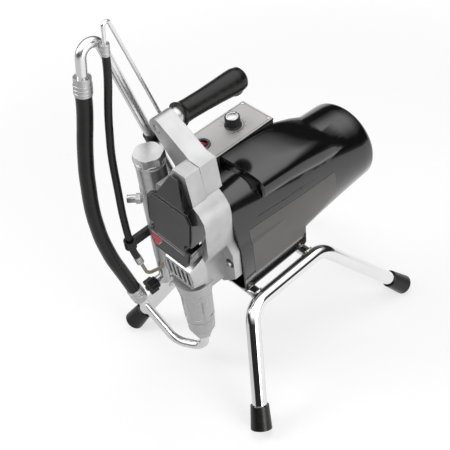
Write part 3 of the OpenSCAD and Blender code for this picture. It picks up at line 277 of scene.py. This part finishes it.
def weld_and_shade(name, sharp_from):
    """Joins the solid's split points, shades it smooth, and keeps edges sharper than an angle sharp."""
    g = bpy.data.node_groups.new(name, "GeometryNodeTree")
    for in_out in ("INPUT", "OUTPUT"):
        g.interface.new_socket("Geometry", in_out=in_out, socket_type="NodeSocketGeometry")
    chain = [g.nodes.new(kind) for kind in (
        "NodeGroupInput", "GeometryNodeRemoveAttribute", "GeometryNodeMergeByDistance",
        "GeometryNodeSetShadeSmooth", "GeometryNodeSetShadeSmooth", "NodeGroupOutput")]
    plain, merge, smooth, sharp = chain[1:-1]
    plain.inputs["Name"].default_value = "custom_normal"
    merge.inputs["Distance"].default_value = WELD_DISTANCE
    smooth.domain = "FACE"
    smooth.inputs["Shade Smooth"].default_value = True
    sharp.domain = "EDGE"
    sharp.inputs["Shade Smooth"].default_value = False
    for a, b in zip(chain, chain[1:]):
        g.links.new(a.outputs[0], b.inputs[0])
    angle = g.nodes.new("GeometryNodeInputMeshEdgeAngle")
    test = g.nodes.new("FunctionNodeCompare")
    test.operation = "GREATER_THAN"
    test.inputs[1].default_value = math.radians(sharp_from)
    g.links.new(angle.outputs[0], test.inputs[0])
    g.links.new(test.outputs[0], sharp.inputs[1])
    return g


CRISP = weld_and_shade("weld_and_shade", SHARP_FROM)
MOULDED = weld_and_shade("weld_and_shade_moulded", MOULDED_SHARP_FROM)
FINISH_OF = {p["node"]: p["material_slot"] for p in frame["record"]["subparts"]}
FINISH_OF.update(suction_tube="soft_chrome", suction_pipe="soft_chrome", return_tube="soft_chrome",
                 filter_cap="spun_silver", pump_cylinder="machined", inlet_valve_housing="machined")
for name, obj in NODES.items():
    obj.data.materials.clear()
    obj.data.materials.append(MATERIALS[FINISH_OF[name]])
    obj.modifiers.new("shade", "NODES").node_group = MOULDED if name == "handle_grip" else CRISP

# Hoses: the same points as the solids they stand for ----------------------------------------------
RETURN_ROUTE = [
    (-115, -159, 601), (-115, -162, 577), (-115, -167, 552), (-115, -173, 527), (-114, -179, 502),
    (-113, -184, 476), (-113, -188, 449), (-112, -191, 421), (-111, -193, 393), (-110, -195, 365),
    (-109, -197, 338), (-108, -198, 313), (-106, -199, 291), (-105, -199, 272), (-105, -198, 257),
    (-105, -196, 243), (-105, -193, 230)]
SUCTION_ROUTE = [
    (-130, -199, 551), (-130, -203, 528), (-130, -209, 503), (-130, -216, 477), (-130, -222, 450),
    (-130, -227, 424), (-129, -231, 397), (-129, -234, 370), (-128, -236, 344), (-127, -236, 318),
    (-126, -235, 292), (-124, -232, 265), (-121, -228, 238), (-118, -222, 212), (-115, -216, 186),
    (-110, -211, 161)]
CURVE_STEPS = 8


def hose(name, route, diameter, node):
    """A smooth round curve through the route, in place of the CAD hose."""
    curve = bpy.data.curves.new(name, "CURVE")
    curve.dimensions = "3D"
    curve.bevel_depth = diameter / 2
    curve.bevel_resolution = CURVE_STEPS
    curve.resolution_u = CURVE_STEPS
    spline = curve.splines.new("BEZIER")
    spline.bezier_points.add(len(route) - 1)
    for bp, p in zip(spline.bezier_points, route):
        bp.co = Vector(p) * MM
        bp.handle_left_type = bp.handle_right_type = "AUTO"
    obj = linked(name, curve)
    curve.materials.append(MATERIALS["black_rubber"])
    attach(obj, "frame")
    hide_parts(node)


hose("return_hose_rubber", RETURN_ROUTE, 0.012, "return_hose")
hose("suction_hose_rubber", SUCTION_ROUTE, 0.024, "suction_hose")


# Mesh helpers: a part is its points and its faces -------------------------------------------------
PIECE_SHARP_FROM = 35
SUNK, PRINTED = -0.1, 0.12      # a printed line starts inside what carries it, and stands off this much


def piece(name, parts, material, body="frame", smooth=False):
    """One mesh of parts, riding on a body."""
    points, faces = [], []
    for part_points, part_faces in parts:
        faces += [tuple(i + len(points) for i in face) for face in part_faces]
        points += part_points
    mesh = bpy.data.meshes.new(name)
    mesh.from_pydata([Vector(p) * MM for p in points], [], faces)
    mesh.update()
    if smooth:
        mesh.polygons.foreach_set("use_smooth", [True] * len(mesh.polygons))
        mesh.set_sharp_from_angle(angle=math.radians(PIECE_SHARP_FROM))
    mesh.materials.append(MATERIALS[material])
    obj = linked(name, mesh)
    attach(obj, body)


def prism(outline, place, low, high):
    """An outline lifted from low to high. place(u, v, h) gives a point."""
    n = len(outline)
    points = [place(u, v, h) for h in (low, high) for u, v in outline]
    faces = [tuple(range(n - 1, -1, -1)), tuple(range(n, 2 * n))]
    faces += [(i, (i + 1) % n, n + (i + 1) % n, n + i) for i in range(n)]
    return points, faces


def stroke(path, width, place, low, high, behind=0.0):
    """A line of prisms on the left of a path. behind is the share of the width on its right."""
    parts = []
    for a, b in zip(path, path[1:]):
        a, b = Vector(a), Vector(b)
        along = (b - a).normalized() * width
        left = Vector((-along.y, along.x))
        a, b = a - left * behind, b - left * behind
        parts.append(prism([a, b, b + left, a + left], place, low, high))
    return parts


def mirrored(path):
    return [(-x, z) for x, z in reversed(path)]


def rectangle(x0, y0, x1, y1):
    """A closed path, counter-clockwise."""
    return [(x0, y0), (x1, y0), (x1, y1), (x0, y1), (x0, y0)]


def looped(rings):
    """Closed rings of points, joined one to the next and the last to the first."""
    n, m = len(rings), len(rings[0])
    faces = [(k * m + i, (k + 1) % n * m + i, (k + 1) % n * m + (i + 1) % m, k * m + (i + 1) % m)
             for k in range(n) for i in range(m)]
    return [p for ring in rings for p in ring], faces


def turned(profile, centre, sides, axis=(0, 0, 1)):
    """A closed profile of (radius, height) turned about an axis through centre."""
    up = Vector(axis).normalized()
    side = up.orthogonal().normalized()
    other = up.cross(side)
    rings = []
    for k in range(sides):
        a = 2 * math.pi * k / sides
        out = side * math.cos(a) + other * math.sin(a)
        rings.append([Vector(centre) + out * r + up * h for r, h in profile])
    return looped(rings)


# Badge: its face leans back with the cover --------------------------------------------------------
LEAN = math.radians(8)
FACE_Y, FACE_Z, BADGE_T = -188.5, 360.0, 1.5


def on_badge(x, z, h):
    """A point on the badge: across, up its face, and out of it."""
    v = z - FACE_Z
    h += BADGE_T
    return Vector((x, FACE_Y + math.sin(LEAN) * v - math.cos(LEAN) * h,
                   FACE_Z + math.cos(LEAN) * v + math.sin(LEAN) * h))


def badge_details():
    wedge = [(-42.2, 334.5), (-14, 333), (-20, 326), (-27, 316.5), (-31.5, 313), (-39.5, 322.5)]
    piece("badge_wedge", [prism(wedge, on_badge, SUNK, 0.25)], "signal_red")
    lines = [[(-42.2, 336.6), (33, 334.4), (33, 333.4), (-42.2, 335.6)],
             [(-28, 340.4), (34, 338.6), (34, 338.1), (-28, 339.9)],
             [(-26, 318.6), (-19.5, 327.2), (-17.6, 327.2), (-24.4, 318.6)]]
    piece("badge_lines", [prism(line, on_badge, SUNK, 0.2) for line in lines], "print_light")
    paths = [[(-32, 310.9), (32, 310.9)], [(-37, 408.1), (37, 408.1)]]
    for side in ([(32, 311), (41, 322), (42.2, 335)], [(45.4, 364), (46, 382), (46, 398), (37, 409)]):
        paths += [side, mirrored(side)]
    rim = [part for path in paths for part in stroke(path, 0.9, on_badge, SUNK, 0.5)]
    piece("badge_rim", rim, "gloss_black")


badge_details()

# Control box: knob, printed scale, switch ring, screws, and a dark strip of painted shade round the lid
# ------
PLATE_Z = 388
KNOB = Vector((-76, 18, 406))
SWITCH = Vector((-79, -46, PLATE_Z))
LID_LOW, LID_HIGH = 384.4, 386.9
SCALE_START, SCALE_STEPS, SCALE_STEP = -135, 54, 5      # degrees from +Y, clockwise
SCALE_R, SCALE_THIN, SCALE_GROWTH = 17.2, 0.35, 0.9
TICKS, TICK_STEP, TICK_IN, TICK_OUT = 11, 27, 19.4, 22


def on_plate(x, y, h):
    return Vector((x, y, PLATE_Z + h))


def round_knob(r, degrees):
    """A place on the plate, r from the knob's axis."""
    a = math.radians(90 - degrees)
    return KNOB.x + r * math.cos(a), KNOB.y + r * math.sin(a)


def knob_details():
    cap = [(0.02, 0.0), (10.4, 0.0), (10.4, 0.9), (9.7, 1.5), (8.2, 1.55), (7.9, 1.25), (7.3, 1.55),
           (0.02, 1.7)]
    piece("knob_cap", [turned(cap, KNOB - Vector((0, 0, 0.3)), 56)], "spun_silver",
          "pressure_dial", True)
    mark = [(-0.6, 4.0), (0.6, 4.0), (0.6, 9.6), (-0.6, 9.6)]
    piece("knob_mark", [prism(mark, lambda u, v, h: KNOB + Vector((u, v, h)), 0.8, 1.55)], "print_dark",
          "pressure_dial")
    skirt = [(12.0, 0.0), (14.2, 0.0), (14.4, 1.2), (13.0, 2.6), (12.0, 2.8)]
    piece("knob_skirt", [turned(skirt, (KNOB.x, KNOB.y, PLATE_Z + 0.6), 56)], "matte_black",
          "pressure_dial", True)
    scale = []
    for i in range(SCALE_STEPS):
        a = SCALE_START + i * SCALE_STEP
        b = a + SCALE_STEP
        outer = SCALE_R + SCALE_THIN + SCALE_GROWTH * i / SCALE_STEPS
        scale.append([round_knob(SCALE_R, a), round_knob(SCALE_R, b),
                      round_knob(outer, b), round_knob(outer, a)])
    for i in range(TICKS):
        a = SCALE_START + i * TICK_STEP
        scale.append([round_knob(TICK_IN, a - 1.2), round_knob(TICK_IN, a + 1.2),
                      round_knob(TICK_OUT, a + 1.0), round_knob(TICK_OUT, a - 1.0)])
    piece("dial_scale", [prism(outline, on_plate, SUNK, PRINTED) for outline in scale],
          "print_dark")


def plate_details():
    frame_line = stroke(rectangle(-106, -63, -43, 69), 0.5, on_plate, SUNK, PRINTED)
    piece("plate_frame_line", frame_line, "print_dark")
    head = [(0.02, 0.0), (3.3, 0.0), (3.3, 0.7), (2.6, 1.5), (0.9, 1.8), (0.8, 1.1), (0.02, 1.1)]
    screws = [turned(head, (x, y, PLATE_Z - 0.05), 24) for x in (-104, -45) for y in (-61, 67)]
    piece("plate_screws", screws, "plain_steel", "frame", True)
    ring = [(10.0, 0.0), (13.6, 0.0), (13.6, 1.0), (12.8, 2.3), (11.2, 2.7), (10.0, 2.4)]
    piece("switch_ring", [turned(ring, SWITCH, 48)], "gloss_black", "frame", True)
    # A dark rubber strip round the lid's edge: painted shade where the lid meets the box
    edge_shade = stroke(rectangle(-109.6, -66.6, -39.6, 72.6), 0.8, lambda u, v, h: Vector((u, v, h)),
                    LID_LOW, LID_HIGH)
    piece("lid_edge_shade", edge_shade, "black_rubber")


knob_details()
plate_details()

# Weld beads where the cross tubes meet the rails --------------------------------------------------
RAIL_X, RAIL_Z, RAIL_R = 74, 173, 12.5
CROSS_Y, CROSS_R = (-86, 34), 10.0
BEAD_STEPS, BEAD_SIDES = 60, 8
BEAD_R, RIPPLE, RIPPLE_TURN = 1.7, 0.3, 2.1
BEAD_SINK, BEAD_PROUD = 0.3, 1.03


def weld_bead(side, cross_y):
    rings = []
    for k in range(BEAD_STEPS):
        a = 2 * math.pi * k / BEAD_STEPS
        dy, dz = CROSS_R * math.cos(a), CROSS_R * math.sin(a)
        reach = RAIL_X - math.sqrt(RAIL_R ** 2 - dz ** 2)
        swell = BEAD_R + RIPPLE * math.sin(k * RIPPLE_TURN)
        centre = Vector((side * (reach - BEAD_SINK), cross_y + dy * BEAD_PROUD, RAIL_Z + dz * BEAD_PROUD))
        out = Vector((0, math.cos(a), math.sin(a)))
        along = Vector((side, 0, 0))
        turns = (-2 * math.pi * j / BEAD_SIDES for j in range(BEAD_SIDES))
        rings.append([centre + (out * math.cos(b) + along * math.sin(b)) * swell for b in turns])
    return looped(rings)


piece("weld_beads", [weld_bead(side, y) for y in CROSS_Y for side in (-1, 1)],
      "weld", "frame", True)

# Pump, guard and neck -----------------------------------------------------------------------------
PUMP_Y, GUARD_Y, NECK_Y = -162, -187, -133
PUMP_JOINTS = (26.95, 211.4), (24.05, 140.3), (20.9, 109.6)      # radius and height
FLANGE_SCREWS = [(x, -122, 267) for x in (-47, 47)]


def front_details():
    # Dark rings round the flange screws: painted shade of the recesses the screws sit in
    recess_shade = [(4.8, 0.0), (4.8, 0.7), (7.6, 0.7), (8.6, 0.3), (8.6, 0.0)]
    piece("screw_recess_shade", [turned(recess_shade, at, 40, (0, -1, 0)) for at in FLANGE_SCREWS],
          "dark_steel", "frame", True)
    # Dark joint lines round the pump
    lines = []
    for r, z in PUMP_JOINTS:
        ring = [(r - 0.4, -0.4), (r + 0.16, -0.4), (r + 0.16, 0.4), (r - 0.4, 0.4)]
        lines.append(turned(ring, (0, PUMP_Y, z), 72))
    piece("pump_rings", lines, "print_dark", "frame", True)
    # Dark outline on the guard's face, round its slots: painted shadow of the gap round the face
    edge = [(25.0, 248.0), (32.0, 254.9), (32.0, 269.7), (26.7, 282.0)]
    outline = stroke(edge + mirrored(edge) + edge[:1], 0.8, lambda u, v, h: Vector((u, GUARD_Y - h, v)),
                     SUNK, PRINTED)
    piece("guard_gap_shadow", outline, "print_dark")
    # Shallow line between the neck and the arm
    seam = stroke([(26.95, 405), (19.98, 458), (19.9, 458.1), (2, 459.05)], 0.24,
                  lambda u, v, h: Vector((u, NECK_Y - h, v)), -0.35, 0.35, 0.5)
    piece("neck_seam", seam, "print_dark")


front_details()

# Plain panels laid on the shroud's sides ----------------------------------------------------------
PANEL_ROWS, PANEL_COLUMNS = 121, 61
PANEL_START, PANEL_STEP, PANEL_LIFT = -84, 1.55, 0.3
PANEL_TOP, TOP_FALL = 316, 0.02
PANEL_LOW, RISE_START, LOW_RISE = 222, 28, 0.62
OUTSIDE = 150


def side_panel(tree, name, side):
    """A sheet whose points are dropped onto the shroud from outside and lifted off it.

    There is no panel if a point misses the shroud.
    """
    inward = Vector((-side, 0, 0))
    points = []
    for i in range(PANEL_ROWS):
        y = PANEL_START + i * PANEL_STEP
        top = PANEL_TOP - TOP_FALL * (y - PANEL_START)
        low = PANEL_LOW + LOW_RISE * max(0.0, y - RISE_START)
        for j in range(PANEL_COLUMNS):
            start = Vector((side * OUTSIDE, y, low + (top - low) * j / (PANEL_COLUMNS - 1)))
            hit, normal, _, _ = tree.ray_cast(start * MM, inward)
            if hit is None:
                return
            if normal.dot(inward) > 0:
                normal = -normal
            points.append((hit + normal * PANEL_LIFT * MM) / MM)
    m = PANEL_COLUMNS
    faces = [(i * m + j, i * m + j + 1, (i + 1) * m + j + 1, (i + 1) * m + j)
             for i in range(PANEL_ROWS - 1) for j in range(m - 1)]
    piece(name, [(points, faces)], "panel_grey", "frame", True)


shroud = BVHTree.FromObject(NODES["motor_shroud"], bpy.context.evaluated_depsgraph_get())
side_panel(shroud, "side_panel_left", -1)
side_panel(shroud, "side_panel_right", 1)

# Studio -------------------------------------------------------------------------------------------
FLOOR_HALF = 12
FLOOR_GLOW = 1.3                            # strength of the floor's glow to the camera
FLOOR_DARK, FLOOR_BRIGHT = 0.75, 1.15       # and in reflections, away from the key light and towards it
KEY_SIDE, KEY_NEAR, KEY_FAR = (0.8, 0.6, 0), -0.25, 0.3
FLOOR_SEEN, FLOOR_MIRRORED = 0.5, 0.85      # share of glow in what the camera and reflections see
FADE_NEAR, FADE_FAR = 0.7, 2.2              # from here to there, the floor runs into the white background
AMBIENT = 0.24
MIRRORED_SKY = ((0.0, 0.2), (0.10, 0.02), (0.38, 0.03), (0.52, 0.5), (0.68, 1.8), (1.0, 2.3))


def add_floor():
    """White to the camera with the object's shadow, plain as a light, and uneven in reflections."""
    s = Shader("floor_white").put(Base_Color=(0.9, 0.9, 0.9, 1), Roughness=0.9, Specular_IOR_Level=0.1)
    ray = s.node("ShaderNodeLightPath").outputs
    place = s.node("ShaderNodeNewGeometry").outputs["Position"]
    lit = s.smooth_range(s.vector_maths("DOT_PRODUCT", place, KEY_SIDE), KEY_NEAR, KEY_FAR,
                         FLOOR_DARK, FLOOR_BRIGHT)
    seen = s.smooth_range(s.vector_maths("LENGTH", place), FADE_NEAR, FADE_FAR, FLOOR_SEEN, 1.0)
    glow = s.node("ShaderNodeEmission")
    s.fill((glow.inputs["Strength"], s.mixed_number(ray["Is Glossy Ray"], FLOOR_GLOW, lit)))
    share = s.maths("MAXIMUM", s.maths("MULTIPLY", ray["Is Camera Ray"], seen),
                    s.maths("MULTIPLY", ray["Is Glossy Ray"], FLOOR_MIRRORED))
    mixer = s.node("ShaderNodeMixShader")
    s.fill((mixer.inputs["Fac"], share), (mixer.inputs[1], s.bsdf.outputs["BSDF"]),
           (mixer.inputs[2], glow.outputs["Emission"]), (s.out.inputs["Surface"], mixer.outputs["Shader"]))
    mesh = bpy.data.meshes.new("floor")
    r = FLOOR_HALF
    mesh.from_pydata([(-r, -r, 0), (r, -r, 0), (r, r, 0), (-r, r, 0)], [], [(0, 1, 2, 3)])
    mesh.materials.append(s.mat)
    linked("floor", mesh)


def add_world():
    """White to the camera; dark near the horizon and bright overhead in reflections; even as light."""
    world = bpy.data.worlds.new("studio")
    bpy.context.scene.world = world
    world.use_nodes = True
    s = Nodes(world.node_tree)
    ray = s.node("ShaderNodeLightPath").outputs
    split = s.node("ShaderNodeSeparateXYZ")
    s.fill((split.inputs["Vector"], s.node("ShaderNodeTexCoord").outputs["Generated"]))
    sky = s.ramp(split.outputs["Z"], *MIRRORED_SKY)
    light = s.mixed_colour(ray["Is Glossy Ray"], (*grey(AMBIENT), 1), sky)
    back = s.tree.nodes["Background"]
    s.fill((back.inputs["Color"], s.mixed_colour(ray["Is Camera Ray"], light, (1, 1, 1, 1))),
           (back.inputs["Strength"], 1.0))


def softbox(name, at, aim, size, power, in_reflections=True):
    light = bpy.data.lights.new(name, "AREA")
    light.shape = "RECTANGLE"
    light.size, light.size_y = size
    light.energy = power
    obj = linked(name, light)
    obj.location = at
    obj.rotation_euler = (Vector(aim) - Vector(at)).to_track_quat("-Z", "Y").to_euler()
    obj.visible_glossy = in_reflections


add_floor()
add_world()
softbox("key", (2.2, 0.0, 0.9), (0, 0, 0.25), (1.4, 1.4), 30)
softbox("fill", (-1.5, -1.5, 1.6), (0, -0.1, 0.25), (0.9, 1.2), 20)
softbox("top", (-0.3, 0.3, 2.4), (0, 0, 0.25), (1.6, 1.6), 15, False)
bpy.context.scene.view_settings.view_transform = "Standard"
